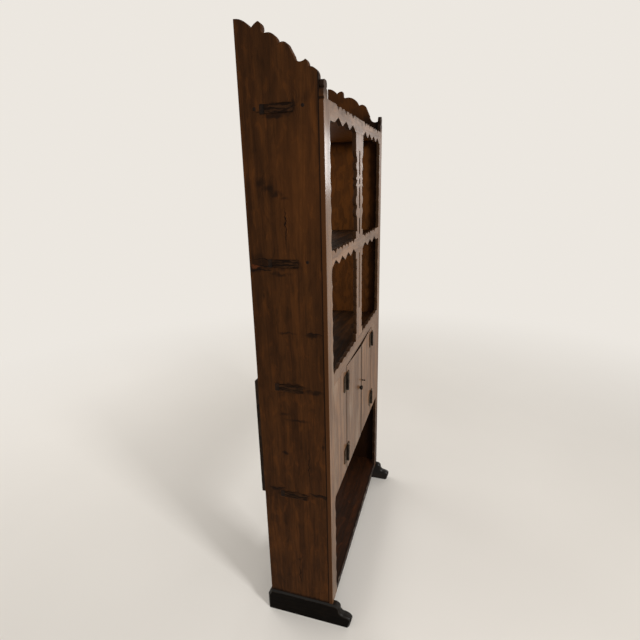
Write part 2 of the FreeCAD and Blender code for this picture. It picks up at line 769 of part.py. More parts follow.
def knob():
    """The turned knob and the spindle that carries the latch bar."""
    body = new_body("knob")
    door_back = s["frame_thick"] - s["rest_gap"]
    tail = -(door_back + s["latch_gap"] + s["latch_thick"])
    seat = s["latch_gap"]
    length = s["knob_long"]
    edge = Outline(zero, tail).line(s["spindle_radius"], tail)
    edge.line(s["spindle_radius"], seat).line(s["neck_radius"], seat)
    for out, up in knob_head_shares:
        edge.line(s["knob_radius"] * out, seat + (length - seat) * up)
    edge.line(zero, length)
    turn(body, edge.close())
    place(body, knob_axis, front_face, knob_line)
    # The profile was turned about Z; a quarter turn about X lays the knob out to the front.
    body.Placement.Rotation = FreeCAD.Rotation(FreeCAD.Vector(1, 0, 0), 90)
    return node(body, "knob")


def latch_bar():
    """The bar on the inner end of the spindle; it stands upright when the doors are free."""
    body = new_body("latch_bar")
    side = s["latch_wide"] / 2
    tip = s["latch_long"]
    bar = Outline(-side, zero).arc((zero, -side), (side, zero)).line(side, tip - side)
    bar.line(side * latch_tip_share, tip).line(-side * latch_tip_share, tip).line(-side, tip - side)
    seat = s["spindle_radius"] + s["running_gap"]
    ring = Part.Circle(FreeCAD.Vector(0, 0, 0), FreeCAD.Vector(0, 0, 1), seat.value)
    pad(body, "XZ_Plane", [bar.close(), [ring]], s["latch_thick"])
    back = frame_back - s["rest_gap"] + s["latch_gap"] + s["latch_thick"]
    place(body, knob_axis, back, knob_line)
    return node(body, "latch_bar")


def right_pull():
    """A small iron peg on the face of the right door, to pull it open by."""
    left = meeting_line + s["meeting_gap"] / 2 + s["pull_inset"]
    low = knob_line + s["pull_rise"] - s["pull_high"] / 2
    return box("right_pull", (left, front_face - s["pull_long"], low),
               (left + s["pull_wide"], front_face, low + s["pull_high"]))


def fixed_panels():
    """The boards that close the front beside the doors."""
    gap = s["door_gap"] / 2
    low, high = door_foot, counter_rail_foot
    box("left_panel", (-stile_inner, front_face, low), (left_hinge_line - gap, frame_back, high))
    box("right_panel", (right_hinge_line + gap, front_face, low), (stile_inner, frame_back, high))


def back():
    """Planks nailed across the back of the cupboard."""
    low = floor_underside + s["back_low"]
    high = counter_underside + s["shelf_thick"] + s["back_high"]
    pitch = (high - low) / len(back_planks)
    for number, name in enumerate(back_planks):
        foot_line = low + pitch * number
        box(f"{name}_back_plank", (-half_wide, rear_face, foot_line),
            (half_wide, rear_face + s["back_thick"], foot_line + pitch - s["plank_gap"]))


def build():
    side_board("left_side", -1, left_crest_shares, left_rear_share)
    side_board("right_side", 1, right_crest_shares, right_rear_share)
    foot("left_foot", -1)
    foot("right_foot", 1)
    base_board()
    for label, height in shelf_heights.items():
        shelf(label, height)
    tenon_wedges("left_tenon_wedges", -1)
    tenon_wedges("right_tenon_wedges", 1)
    stile("left_stile", -1, s["left_ear_high"])
    stile("right_stile", 1, s["right_ear_high"])
    fretted_rail("top_rail", top_rail_foot, top_rail_top, top_teeth, top_pitch_shares)
    fretted_rail("middle_rail", middle_rail_foot, middle_rail_top, middle_teeth,
                 middle_pitch_shares)
    counter_rail()
    upper_mullion()
    lower_mullion()
    fixed_panels()
    spindle_hole(door("left_door", left_hinge_line, 1))
    door("right_door", right_hinge_line, -1)
    battens("left", left_hinge_line, 1)
    battens("right", right_hinge_line, -1)
    hinges("left", left_hinge_line, 1)
    hinges("right", right_hinge_line, -1)
    knob()
    latch_bar()
    right_pull()
    back()


def check_and_write():
    """Stop on any broken object, then write each sub-part to its own file."""
    doc.recompute()
    for thing in doc.Objects:
        if "Invalid" in thing.State or "Error" in thing.State:
            raise ValueError(f"{thing.Label} did not build: {thing.State}")
    os.makedirs("parts", exist_ok=True)
    for thing in nodes:
        if thing.Shape.isNull() or not thing.Shape.isValid():
            raise ValueError(f"{thing.Label} has no valid shape")
        thing.Shape.exportStep(f"parts/{thing.Label}.step")
    print(f"{len(nodes)} sub-parts written")


build()
check_and_write()
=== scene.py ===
# %% [markdown]
# # A plate cabinet with fretted rails
#
# This lesson dresses a finished cabinet for its portrait. The boards, doors and hinges arrive as
# exact solids, so nothing here moves or reshapes them. Blender adds what a drawing leaves out:
# sawn grain and knots, edges worn round by hands, forged nails, a turned knob and soft daylight.

# %% Load the solids
import math

import bmesh
import bpy
from mathutils import Matrix, Vector


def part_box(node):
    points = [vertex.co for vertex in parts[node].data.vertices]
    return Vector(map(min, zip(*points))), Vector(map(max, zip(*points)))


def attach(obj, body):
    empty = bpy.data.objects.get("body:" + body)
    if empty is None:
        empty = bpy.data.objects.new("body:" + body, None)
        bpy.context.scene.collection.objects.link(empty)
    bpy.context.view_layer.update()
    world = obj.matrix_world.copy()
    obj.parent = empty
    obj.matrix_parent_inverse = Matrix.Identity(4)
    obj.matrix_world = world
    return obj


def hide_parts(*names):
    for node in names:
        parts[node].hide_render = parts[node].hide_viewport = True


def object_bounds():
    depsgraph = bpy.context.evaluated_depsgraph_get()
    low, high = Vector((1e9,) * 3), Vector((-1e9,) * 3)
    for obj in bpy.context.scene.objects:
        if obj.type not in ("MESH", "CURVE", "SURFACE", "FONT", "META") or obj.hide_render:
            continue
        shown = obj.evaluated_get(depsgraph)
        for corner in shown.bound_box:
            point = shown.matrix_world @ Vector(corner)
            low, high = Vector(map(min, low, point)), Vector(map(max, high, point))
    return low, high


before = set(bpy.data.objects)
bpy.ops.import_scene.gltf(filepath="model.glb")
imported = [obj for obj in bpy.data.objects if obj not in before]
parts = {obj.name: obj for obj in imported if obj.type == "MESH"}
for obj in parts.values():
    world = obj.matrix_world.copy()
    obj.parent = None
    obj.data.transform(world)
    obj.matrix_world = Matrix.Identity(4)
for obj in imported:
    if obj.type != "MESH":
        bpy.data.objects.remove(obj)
solid_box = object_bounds()
print(len(parts), "solids, from", solid_box[0][:], "to", solid_box[1][:])

# %% [markdown]
# ## The camera
#
# The portrait was taken from close by, to the left of the cabinet, with a wide lens. That is why
# the near side looms and the front is squeezed into a narrow strip. A camera can be aimed with a
# constraint, but here its place and turns were solved from the cabinet's own straight edges, so
# they are written down as numbers and put together as one matrix.

# %% Place the camera
LENS_PLACE = Vector((-1.7113, -0.4608, 1.6160))
PAN, TILT, ROLL = (math.radians(angle) for angle in (-72.613, 90 - 16.882, -1.341))
LENS_MM = 24.797

eye = bpy.data.cameras.new("portrait_camera")
eye.lens = LENS_MM
eye.sensor_fit = "HORIZONTAL"
camera = bpy.data.objects.new("portrait_camera", eye)
bpy.context.scene.collection.objects.link(camera)
camera.matrix_world = (Matrix.Translation(LENS_PLACE) @ Matrix.Rotation(PAN, 4, "Z")
                       @ Matrix.Rotation(TILT, 4, "X") @ Matrix.Rotation(ROLL, 4, "Z"))
bpy.context.scene.camera = camera
print("camera", round((LENS_PLACE - sum(solid_box, Vector()) / 2).length, 2), "m from the middle")

# %% [markdown]
# ## The room
#
# The room is only a pale floor and a pale surround. The surround has two strengths: what the lens
# and the reflections see is nearly white, while what lights the wood is weaker, so the wood keeps
# its own colour. The Light Path node tells the two kinds of ray apart.

# %% A pale surround
SURROUND = (0.84, 0.80, 0.745, 1)
SEEN_STRENGTH, LIGHT_STRENGTH = 1.0, 0.66

world = bpy.data.worlds.new("pale_room")
world.use_nodes = True
bpy.context.scene.world = world
sky = world.node_tree
lit = sky.nodes["Background"]
lit.inputs["Strength"].default_value = LIGHT_STRENGTH
seen = sky.nodes.new("ShaderNodeBackground")
seen.inputs["Color"].default_value = SURROUND
seen.inputs["Strength"].default_value = SEEN_STRENGTH
lit.inputs["Color"].default_value = SURROUND
rays = sky.nodes.new("ShaderNodeLightPath")
either = sky.nodes.new("ShaderNodeMath")
either.operation = "MAXIMUM"
any_view = sky.nodes.new("ShaderNodeMath")
any_view.operation = "MAXIMUM"
mixer = sky.nodes.new("ShaderNodeMixShader")
for source, target in (
        (rays.outputs["Is Camera Ray"], either.inputs[0]),
        (rays.outputs["Is Glossy Ray"], either.inputs[1]),
        (either.outputs[0], any_view.inputs[0]),
        (rays.outputs["Is Transmission Ray"], any_view.inputs[1]),
        (any_view.outputs[0], mixer.inputs[0]),
        (lit.outputs[0], mixer.inputs[1]),
        (seen.outputs[0], mixer.inputs[2]),
        (mixer.outputs[0], sky.nodes["World Output"].inputs["Surface"])):
    sky.links.new(source, target)
bpy.context.scene.view_settings.view_transform = "Standard"
print("surround at", SEEN_STRENGTH, "to the eye and", LIGHT_STRENGTH, "to the wood")


# %% [markdown]
# Three large lamps stand in for windows. The first is on the lens's side and lights the broad side
# and the inside of the rack. The second is far to the right: the front is seen at a glancing
# angle, so that lamp's mirror image makes the waxed front shine. The third fills in the back.

# %% Soft lamps
def softbox(name, place, aim, size, watts, spread=180):
    """A square lamp at a place, turned to face a point, whose light spreads by an angle."""
    lamp = bpy.data.lights.new(name, "AREA")
    lamp.size = size
    lamp.energy = watts
    lamp.spread = math.radians(spread)
    holder = bpy.data.objects.new(name, lamp)
    bpy.context.scene.collection.objects.link(holder)
    facing = (Vector(aim) - Vector(place)).to_track_quat("-Z", "Y")
    holder.matrix_world = Matrix.Translation(place) @ facing.to_matrix().to_4x4()
    print(name, "gives", watts, "W")


MIDDLE, NEAR_BAY = (0, 0, 1.0), (-0.44, -0.10, 1.68)
softbox("window_left", (-2.0, -2.9, 2.3), MIDDLE, size=0.6, watts=35, spread=110)
softbox("window_right", (3.6, -1.48, 1.90), NEAR_BAY, size=0.62, watts=12)
softbox("window_back", (1.2, 3.4, 2.6), MIDDLE, size=2.2, watts=45)


# %% [markdown]
# ## Mixing finishes
#
# A finish is a small tree of nodes that ends in one Principled shader. Adding nodes by hand takes
# many lines, so this class adds one node per call and hands its result on to the next call. All
# patterns read Object coordinates: the solids sit at the origin, so these are metres from the
# middle of the floor, and a pattern rides along when a door swings.

# %% A class for finishes
# A Mix node has sockets for each kind of data. These numbers are the ones for colours.
MIX_AMOUNT, MIX_FIRST, MIX_SECOND, MIX_RESULT = 0, 6, 7, 2


class Finish:
    """A material being mixed. Each call adds one node and gives back its result."""

    def __init__(self, name, shine, roughness):
        self.material = bpy.data.materials.new(name)
        self.material.use_nodes = True
        self.tree = self.material.node_tree
        self.skin = self.tree.nodes["Principled BSDF"]
        self.skin.inputs["Specular IOR Level"].default_value = shine
        self.skin.inputs["Roughness"].default_value = roughness
        self.spot = self.tree.nodes.new("ShaderNodeTexCoord").outputs["Object"]

    def feed(self, socket, value):
        if isinstance(value, bpy.types.NodeSocket):
            self.tree.links.new(value, socket)
        else:
            socket.default_value = value

    def calc(self, operation, *values):
        node = self.tree.nodes.new("ShaderNodeMath")
        node.operation = operation
        for socket, value in zip(node.inputs, values):
            self.feed(socket, value)
        return node.outputs[0]

    def times(self, result, *values):
        """Several values multiplied."""
        for value in values:
            result = self.calc("MULTIPLY", result, value)
        return result

    def most(self, values):
        """The greatest of several values."""
        result = values[0]
        for value in values[1:]:
            result = self.calc("MAXIMUM", result, value)
        return result

    def ease(self, value, low, high, start=0.0):
        """A soft step from 0 at low to 1 at high, both counted from a start."""
        node = self.tree.nodes.new("ShaderNodeMapRange")
        node.interpolation_type = "SMOOTHSTEP"
        for name, setting in (("Value", value), ("From Min", start + low),
                              ("From Max", start + high)):
            self.feed(node.inputs[name], setting)
        return node.outputs[0]

    def between(self, value, low, high):
        """Spread 0 to 1 over low to high."""
        node = self.tree.nodes.new("ShaderNodeMapRange")
        for name, setting in (("Value", value), ("To Min", low), ("To Max", high)):
            self.feed(node.inputs[name], setting)
        return node.outputs[0]

    def blend(self, amount, first, second):
        """A colour between two others."""
        node = self.tree.nodes.new("ShaderNodeMix")
        node.data_type = "RGBA"
        for number, value in ((MIX_AMOUNT, amount), (MIX_FIRST, first), (MIX_SECOND, second)):
            self.feed(node.inputs[number], value)
        return node.outputs[MIX_RESULT]

    def stretch(self, scale, offset=(0, 0, 0), spot=None):
        node = self.tree.nodes.new("ShaderNodeMapping")
        node.inputs["Scale"].default_value = scale
        node.inputs["Location"].default_value = offset
        self.feed(node.inputs["Vector"], spot or self.spot)
        return node.outputs[0]

    def noise(self, spot, scale, detail=2.0, twist=0.0):
        node = self.tree.nodes.new("ShaderNodeTexNoise")
        node.inputs["Scale"].default_value = scale
        node.inputs["Detail"].default_value = detail
        node.inputs["Distortion"].default_value = twist
        self.feed(node.inputs["Vector"], spot)
        return node.outputs[0]

    def ragged(self, scale, amount):
        """Object coordinates pushed about by noise, for torn outlines."""
        cloud = self.tree.nodes.new("ShaderNodeTexNoise")
        cloud.inputs["Scale"].default_value = scale
        self.feed(cloud.inputs["Vector"], self.spot)
        push = self.tree.nodes.new("ShaderNodeVectorMath")
        push.operation = "MULTIPLY_ADD"
        self.feed(push.inputs[0], cloud.outputs["Color"])
        push.inputs[1].default_value = (amount, amount, amount)
        self.feed(push.inputs[2], self.stretch((1, 1, 1), (-amount / 2,) * 3))
        return push.outputs[0]

    def blot(self, spot, centre, reach):
        """1 in the middle of a soft oval and 0 outside it. A reach of None leaves that axis out."""
        scale = [0 if part is None else 1 / part for part in reach]
        shift = [-part * share for part, share in zip(centre, scale)]
        length = self.tree.nodes.new("ShaderNodeVectorMath")
        length.operation = "LENGTH"
        self.feed(length.inputs[0], self.stretch(scale, shift, spot))
        return self.ease(length.outputs["Value"], 1, 0)

    def axis(self, name):
        """How far along one axis a point lies, in metres."""
        node = self.tree.nodes.new("ShaderNodeSeparateXYZ")
        self.feed(node.inputs[0], self.spot)
        return node.outputs[name]

    def from_middle(self):
        """How far a point lies to the left or right of the cabinet's middle, in metres."""
        return self.calc("ABSOLUTE", self.axis("X"))

    def dent(self, height, depth):
        """Make the surface uneven by a height from 0 to 1."""
        node = self.tree.nodes.new("ShaderNodeBump")
        node.inputs["Distance"].default_value = depth
        self.feed(node.inputs["Height"], height)
        self.feed(self.skin.inputs["Normal"], node.outputs[0])


def tone(red, green, blue):
    """A colour as a painter reads it off a screen, turned into light."""
    linear = [((part / 255 + 0.055) / 1.055) ** 2.4 if part > 10 else part / 3294.6
              for part in (red, green, blue)]
    return (*linear, 1)


print("finishes can be mixed")


# %% [markdown]
# ## Old wood
#
# Sawn boards show three things. Growth lines run along the board and bend round knots. Fine fibres
# run beside them. Wax and smoke have stained the wood in slow patches, with warmer streaks where
# it was rubbed. A photograph would be one way to show this, but a pattern made of noise has no
# seams: noise is squeezed along the grain, and its contour lines, like those on a map, become the
# growth lines. Adding a hill at each knot makes the contours close round it.

# %% Wood from noise
# A STEP is where a soft step starts and ends, a SHARE is how much of a tint is laid on, and a TEAR
# is how fine an outline is torn and how far, in metres.
# Each pattern is its squeeze along the grain, its scale, its detail and its twist.
FIGURE, STREAK = (0.07, 8.0, 1.5, 0.5), (0.07, 38.0, 3.0, 0.0)
FIBRE, THREAD = (0.03, 240.0, 2.0, 0.0), (0.10, 130.0, 4.0, 0.4)
MOTTLE, PATCH = (0.4, 42.0, 5.0, 0.6), (0.4, 4.2, 3.0, 0.4)
LINE_TURNS, LINE_STEP, LINE_SHARE = 75.0, (-0.3, 1.0), 0.26
KNOT_STRETCH, KNOT_HILL, KNOT_LIFT, KNOT_SHARE = 2.4, 2.6, 0.30, 0.85
KNOT_TEAR = (18.0, 0.010)
BODY_STREAK, WARM_STREAK, WARM_PATCH = (0.30, 0.68), (0.42, 0.60), (0.44, 0.66)
# Each stain follows a pattern from one value of it to another, with a share and a tint.
STAINS = [("mottle", (0.50, 0.68), 0.34, "grime"), ("mottle", (0.46, 0.30), 0.36, "glow"),
          ("thread", (0.52, 0.70), 0.34, "grime"), ("thread", (0.44, 0.28), 0.22, "glow"),
          ("fibre", (0.52, 0.72), 0.24, "grime"), ("patch", (0.46, 0.28), 0.40, "grime")]
SMOOTHER, ROUGHER = 0.10, 0.12
FIBRE_RELIEF, LINE_RELIEF = 0.65, 0.35


def squeezed(grain, share):
    """A scale that draws patterns out along the grain."""
    return [share if axis == grain else 1.0 for axis in range(3)]


class Plank(Finish):
    """Sawn wood whose grain runs along one axis (0, 1 or 2)."""

    def __init__(self, name, grain, look, offset, knots=()):
        super().__init__(name, look["shine"], look["rough"])
        self.look = look
        figure, self.streak, self.fibre, self.thread, self.mottle, self.patch = (
            self.noise(self.stretch(squeezed(grain, share), offset), *rest)
            for share, *rest in (FIGURE, STREAK, FIBRE, THREAD, MOTTLE, PATCH))
        self.core = None
        if knots:
            figure = self.bend_round(figure, grain, knots)
        self.line = self.ease(self.calc("SINE", self.times(figure, LINE_TURNS)), *LINE_STEP)
        self.rough = self.between(self.fibre, look["rough"] - SMOOTHER, look["rough"] + ROUGHER)
        self.stain()
        relief = self.calc("ADD", self.times(self.fibre, FIBRE_RELIEF),
                           self.times(self.line, LINE_RELIEF))
        self.dent(relief, look["relief"])

    def bend_round(self, figure, grain, knots):
        """Raise the figure at each knot, and keep the knots' dark hearts."""
        spot = self.ragged(*KNOT_TEAR)
        hills, hearts = [], []
        for place, reach in knots:
            oval = [reach * KNOT_STRETCH if axis == grain else reach for axis in range(3)]
            hills.append(self.blot(spot, place, [KNOT_HILL * part for part in oval]))
            hearts.append(self.blot(spot, place, oval))
        self.core = self.most(hearts)
        return self.calc("ADD", figure, self.times(self.most(hills), KNOT_LIFT))

    def over(self, amount, share, tint):
        """Lay a tint over the colour so far, as much as amount says."""
        self.colour = self.blend(self.times(amount, share), self.colour, tint)

    def stain(self):
        """The wood's own colour, from its streaks to the dark hearts of its knots."""
        look = self.look
        body = self.ease(self.streak, *BODY_STREAK)
        self.colour = self.blend(body, look["shade"], look["body"])
        warm = self.times(self.ease(self.patch, *WARM_PATCH),
                          self.ease(self.streak, *WARM_STREAK))
        self.over(warm, look["warmth"], look["glow"])
        self.over(self.line, LINE_SHARE, look["shade"])
        for pattern, step, share, tint in STAINS:
            self.over(self.ease(getattr(self, pattern), *step), share, look[tint])
        if self.core is not None:
            self.over(self.core, KNOT_SHARE, look["grime"])

    def wandering_height(self, reach):
        """The height of a point, pushed by up to a reach so that a line across wanders."""
        return self.calc("ADD", self.axis("Z"), self.times(self.mottle, reach))

    def done(self):
        self.feed(self.skin.inputs["Base Color"], self.colour)
        self.feed(self.skin.inputs["Roughness"], self.rough)
        return self.material


print("growth lines drawn out", round(1 / FIGURE[0]), "to 1")

# %% [markdown]
# The cabinet is one old brown, but no two families of boards aged alike. The sides are dry and
# matt. The front was waxed and shines at a glancing angle. The shelves are darker, the base board
# is redder, the feet are nearly black. Each family is written as a small table of tones, from the
# dirt in its pores to the warm glow of a rubbed streak.

# %% The looks of each family of boards
LOOKS = {
    "side": {"shade": tone(52, 30, 14), "body": tone(66, 39, 18), "glow": tone(90, 52, 22),
             "grime": tone(30, 18, 9), "warmth": 0.7,
             "shine": 0.04, "rough": 0.58, "relief": 0.0008},
    "front": {"shade": tone(88, 60, 38), "body": tone(106, 75, 48), "glow": tone(128, 88, 53),
              "grime": tone(68, 46, 31), "warmth": 0.7,
              "shine": 0.06, "rough": 0.52, "relief": 0.0005},
    "shelf": {"shade": tone(34, 21, 11), "body": tone(48, 30, 16), "glow": tone(76, 45, 21),
              "grime": tone(19, 12, 7), "warmth": 0.7,
              "shine": 0.03, "rough": 0.56, "relief": 0.0008},
    "base": {"shade": tone(34, 17, 7), "body": tone(50, 26, 11), "glow": tone(74, 38, 15),
             "grime": tone(16, 9, 5), "warmth": 0.7,
             "shine": 0.10, "rough": 0.46, "relief": 0.0008},
    "foot": {"shade": tone(12, 9, 7), "body": tone(19, 14, 10), "glow": tone(36, 26, 18),
             "grime": tone(7, 6, 5), "warmth": 0.35,
             "shine": 0.02, "rough": 0.45, "relief": 0.0006},
    "back": {"shade": tone(24, 18, 14), "body": tone(40, 29, 21), "glow": tone(58, 40, 26),
             "grime": tone(13, 10, 8), "warmth": 0.5,
             "shine": 0.05, "rough": 0.66, "relief": 0.0014},
    "wedge": {"shade": tone(20, 13, 8), "body": tone(32, 20, 12), "glow": tone(50, 30, 16),
              "grime": tone(12, 8, 6), "warmth": 0.4,
              "shine": 0.08, "rough": 0.58, "relief": 0.0008},
}
print(len(LOOKS), "families")

# %% [markdown]
# ## Softened edges
#
# A solid from a drawing has knife edges, and no old board has. A Bevel modifier rounds them
# without touching the solid itself. The solid is made of loose triangles, so Weld joins them
# first, and a planar Decimate melts flat triangles into whole faces that a bevel can follow. The
# bevel gives its new strip the second material slot, which is a paler finish: edges rub bare.

# %% Round the edges and wear them
GRAIN_X, GRAIN_Y, GRAIN_Z = range(3)
WELD_GAP, FLAT_ANGLE, SHARP_ANGLE = 1e-5, math.radians(0.4), math.radians(32)
EDGE_SEGMENTS, EDGE_SLOT, EDGE_OFFSET = 2, 1, (0.3, 0.7, 0.1)
RUB_SCALE, RUB_DETAIL, RUB_STEP = 26.0, 4.0, (0.48, 0.64)
# For each family, how wide its edges are rounded in metres, the tone of its bare wood, and how
# much of that shows.
EDGE_WIDTHS = {"side": 0.0018, "front": 0.0010, "shelf": 0.0018, "base": 0.0025,
               "foot": 0.0010, "back": 0.0015, "wedge": 0.0006}
BARE = {"side": tone(92, 56, 30), "front": tone(132, 98, 68), "shelf": tone(70, 44, 25),
        "base": tone(150, 132, 114), "foot": tone(56, 48, 40), "back": tone(66, 49, 36),
        "wedge": tone(46, 30, 19)}
WEAR = {"side": 0.35, "front": 0.5, "shelf": 0.6, "base": 0.32, "foot": 0.5, "back": 0.5,
        "wedge": 0.5}


def soften(part, width):
    """Weld, melt and bevel a solid. The bevel's faces use the second material slot."""
    weld = part.modifiers.new("join_faces", "WELD")
    weld.merge_threshold = WELD_GAP
    melt = part.modifiers.new("melt_flats", "DECIMATE")
    melt.decimate_type = "DISSOLVE"
    melt.angle_limit = FLAT_ANGLE
    round_off = part.modifiers.new("round_edges", "BEVEL")
    round_off.width = width
    round_off.segments = EDGE_SEGMENTS
    round_off.limit_method = "ANGLE"
    round_off.angle_limit = SHARP_ANGLE
    round_off.harden_normals = True
    round_off.use_clamp_overlap = True
    round_off.material = EDGE_SLOT


def worn_edge(family, grain):
    """The rounded strip along an edge: dark, with bare wood showing in broken lengths."""
    finish = Plank(f"{family}_edge_{'xyz'[grain]}", grain, LOOKS[family], EDGE_OFFSET)
    rubbed = finish.ease(finish.noise(finish.spot, RUB_SCALE, RUB_DETAIL), *RUB_STEP)
    finish.over(rubbed, WEAR[family], BARE[family])
    return finish


def dress(name, main, edge, width):
    """Give a solid its finish, its worn edges and its rounding."""
    part = parts[name]
    part.data.materials[0] = main
    part.data.materials.append(edge)
    soften(part, width)


print("edges can be worn in", len(WEAR), "ways")

# %% [markdown]
# ## The boards
#
# Every board was cut from its own log, so each gets its own finish with its own offset into the
# noise. Knots are strewn by the golden share, which never lines up with itself, so no board
# repeats its neighbour. The table says which way each board's grain runs.

# %% Choose grain and knots for each board
SHELVES = ["cupboard_floor", "cupboard_top", "middle_shelf", "top_board"]
BATTENS = ["left_lower_batten", "left_upper_batten", "right_lower_batten", "right_upper_batten"]
# For each family, which way its grain runs, the number of its first board, and its boards.
BOARDS = {
    "side": (GRAIN_Z, 1, ["left_side", "right_side"]),
    "shelf": (GRAIN_X, 11, SHELVES + BATTENS),
    "rail": (GRAIN_X, 30, ["top_rail", "middle_rail", "counter_rail"]),
    "front": (GRAIN_Z, 110, ["left_stile", "right_stile", "upper_mullion", "lower_mullion",
                             "left_panel", "right_panel", "left_door", "right_door"]),
    "base": (GRAIN_X, 200, ["base_board"]),
    "foot": (GRAIN_Y, 210, ["left_foot", "right_foot"]),
    "back": (GRAIN_X, 220, ["lower_back_plank", "middle_back_plank", "upper_back_plank"]),
    "wedge": (GRAIN_X, 230, ["left_tenon_wedges", "right_tenon_wedges"]),
}
GOLDEN = 0.618034
KNOTS_EACH, KNOT_SMALLEST, KNOT_SPREAD = 2, 0.007, 0.006
OFFSET_STEPS, OFFSET_SPANS = (3.1, 1.7, 2.3), (7.3, 5.9, 6.7)


def strewn_knots(part, seed):
    """A few knots over a board's box, each a place and a reach."""
    low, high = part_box(part)
    knots = []
    for number in range(KNOTS_EACH):
        shares = [((number + seed) * GOLDEN * step) % 1 for step in (1, 2, 3)]
        place = [a + (b - a) * share for a, b, share in zip(low, high, shares)]
        knots.append((place, KNOT_SMALLEST + KNOT_SPREAD * shares[0]))
    return knots


def offset_for(number):
    """A place in the noise that no other board uses."""
    return tuple(step * number % span for step, span in zip(OFFSET_STEPS, OFFSET_SPANS))


print(sum(len(names) for *_, names in BOARDS.values()), "boards")

# %% [markdown]
# The near side shows the marks of its making. Each shelf's tenon comes through it, and smoke and
# polish have gathered round the tenons in dark smears, no two alike. Knots and a long check in the
# upper half are where the picture has them. They could be painted on a picture of the board, but
# a soft oval whose outline noise has torn does the same, and can have its own strength.

# %% Smears, checks and knots
# The second tone is near black for cracks and dirt, and for painted shade too.
SMOKE, CRACK_DIRT_AND_SHADE, SPLIT = tone(22, 13, 8), tone(12, 7, 5), tone(96, 50, 26)
# Each smear is a place across and up the board, its reach each way in metres, and its strength.
SMEARS = [((0.040, 1.820), (0.090, 0.026), 1.0), ((0.050, 1.806), (0.060, 0.012), 0.9),
          ((-0.014, 1.834), (0.022, 0.020), 0.7), ((-0.050, 1.846), (0.052, 0.036), 0.42),
          ((0.060, 1.390), (0.135, 0.026), 1.0), ((0.130, 1.374), (0.055, 0.018), 0.9),
          ((0.050, 1.360), (0.070, 0.010), 0.6), ((0.120, 1.410), (0.050, 0.030), 0.5),
          ((0.030, 0.985), (0.095, 0.018), 1.0), ((0.030, 0.968), (0.085, 0.014), 1.0),
          ((-0.045, 0.972), (0.060, 0.014), 0.8), ((0.010, 0.860), (0.070, 0.009), 0.7),
          ((0.060, 0.880), (0.040, 0.008), 0.6), ((0.035, 0.558), (0.110, 0.024), 1.0),
          ((0.105, 0.574), (0.050, 0.016), 0.8), ((-0.062, 0.570), (0.070, 0.013), 0.9),
          ((0.100, 1.630), (0.040, 0.024), 0.6), ((0.078, 1.614), (0.036, 0.022), 0.7),
          ((0.052, 1.598), (0.036, 0.018), 0.7), ((0.030, 1.586), (0.028, 0.014), 0.6),
          ((-0.048, 1.166), (0.045, 0.014), 0.9), ((0.040, 1.172), (0.060, 0.008), 0.6),
          ((0.066, 0.728), (0.020, 0.010), 0.8), ((-0.072, 0.772), (0.010, 0.026), 0.7),
          ((0.030, 0.274), (0.012, 0.008), 0.7), ((0.140, 1.560), (0.030, 0.120), 0.35),
          ((0.135, 0.400), (0.055, 0.420), 0.30), ((0.140, 1.000), (0.040, 0.300), 0.22)]
# Each check is a thin crack along the grain or across it.
CHECKS = [((0.027, 1.500), (0.0022, 0.085)), ((0.060, 1.821), (0.075, 0.0028)),
          ((0.085, 1.384), (0.085, 0.0030)), ((0.045, 0.986), (0.065, 0.0026)),
          ((0.045, 0.974), (0.065, 0.0026)), ((0.040, 0.560), (0.090, 0.0028)),
          ((-0.020, 0.690), (0.0016, 0.110)), ((0.028, 0.200), (0.0016, 0.070)),
          ((0.115, 1.371), (0.060, 0.0026)), ((0.110, 1.402), (0.050, 0.0020)),
          ((0.010, 1.826), (0.050, 0.0022)), ((-0.060, 1.171), (0.040, 0.0024)),
          ((-0.055, 0.573), (0.060, 0.0024)), ((0.100, 0.578), (0.050, 0.0022))]
# Each knot is a place and a reach, in metres.
SIDE_KNOTS = {
    "left_side": [((-0.472, 0.066, 1.606), 0.020), ((-0.472, 0.030, 1.512), 0.008),
                  ((-0.472, -0.045, 1.167), 0.009), ((-0.472, 0.067, 0.728), 0.007),
                  ((-0.472, -0.010, 1.832), 0.009), ((-0.472, 0.110, 1.290), 0.006)],
    "right_side": [((0.472, 0.020, 1.660), 0.016), ((0.472, 0.090, 1.120), 0.010),
                   ((0.472, -0.040, 0.690), 0.008), ((0.472, 0.060, 0.330), 0.007)],
}
print(len(SMEARS), "smears,", len(CHECKS), "checks,", len(SIDE_KNOTS["left_side"]), "near knots")

# %% [markdown]
# These marks belong on the outer face alone, which a soft step on the width finds. The far side
# has the same marks, swapped front to back. Dirt has filled the seam between a side and the front
# frame, and dirt and painted contact shade darken the line where the side stands on its foot.

# %% The outer faces of the sides
OUTER_STEP, TENON_MIDDLE, MARK_TEAR = (0.455, 0.466), 0.040, (40.0, 0.024)
RUBBED_PLACE, RUBBED_REACH, RUBBED_TEAR = (0, -0.010, 1.600), (None, 0.120, 0.280), (6.0, 0.10)
SPLIT_PLACE, SPLIT_REACH = (0, 0.135, 1.381), (None, 0.028, 0.007)
BROKEN, SMEAR_STEP, SPLIT_STEP, CHECK_STEP = (0.20, 1.40), (0.06, 0.62), (0.2, 0.7), (0.1, 0.5)
RUBBED_SHARE, SMEAR_SHARE, SPLIT_SHARE, CHECK_SHARE, DIRT_AND_SHADE_SHARE = 0.30, 0.78, 0.55, 0.9, 0.85
SEAM, SEAM_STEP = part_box("left_side")[0].y, (0.0050, 0.0015)
FOOT_TOP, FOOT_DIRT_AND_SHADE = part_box("left_foot")[1].z, 0.016


def on_side(rows, turn):
    """Marks as places on a side. A turn of -1 swaps them front to back about the tenons."""
    return [((0, TENON_MIDDLE + turn * (across - TENON_MIDDLE), up), (None, *reach), *rest)
            for (across, up), reach, *rest in rows]


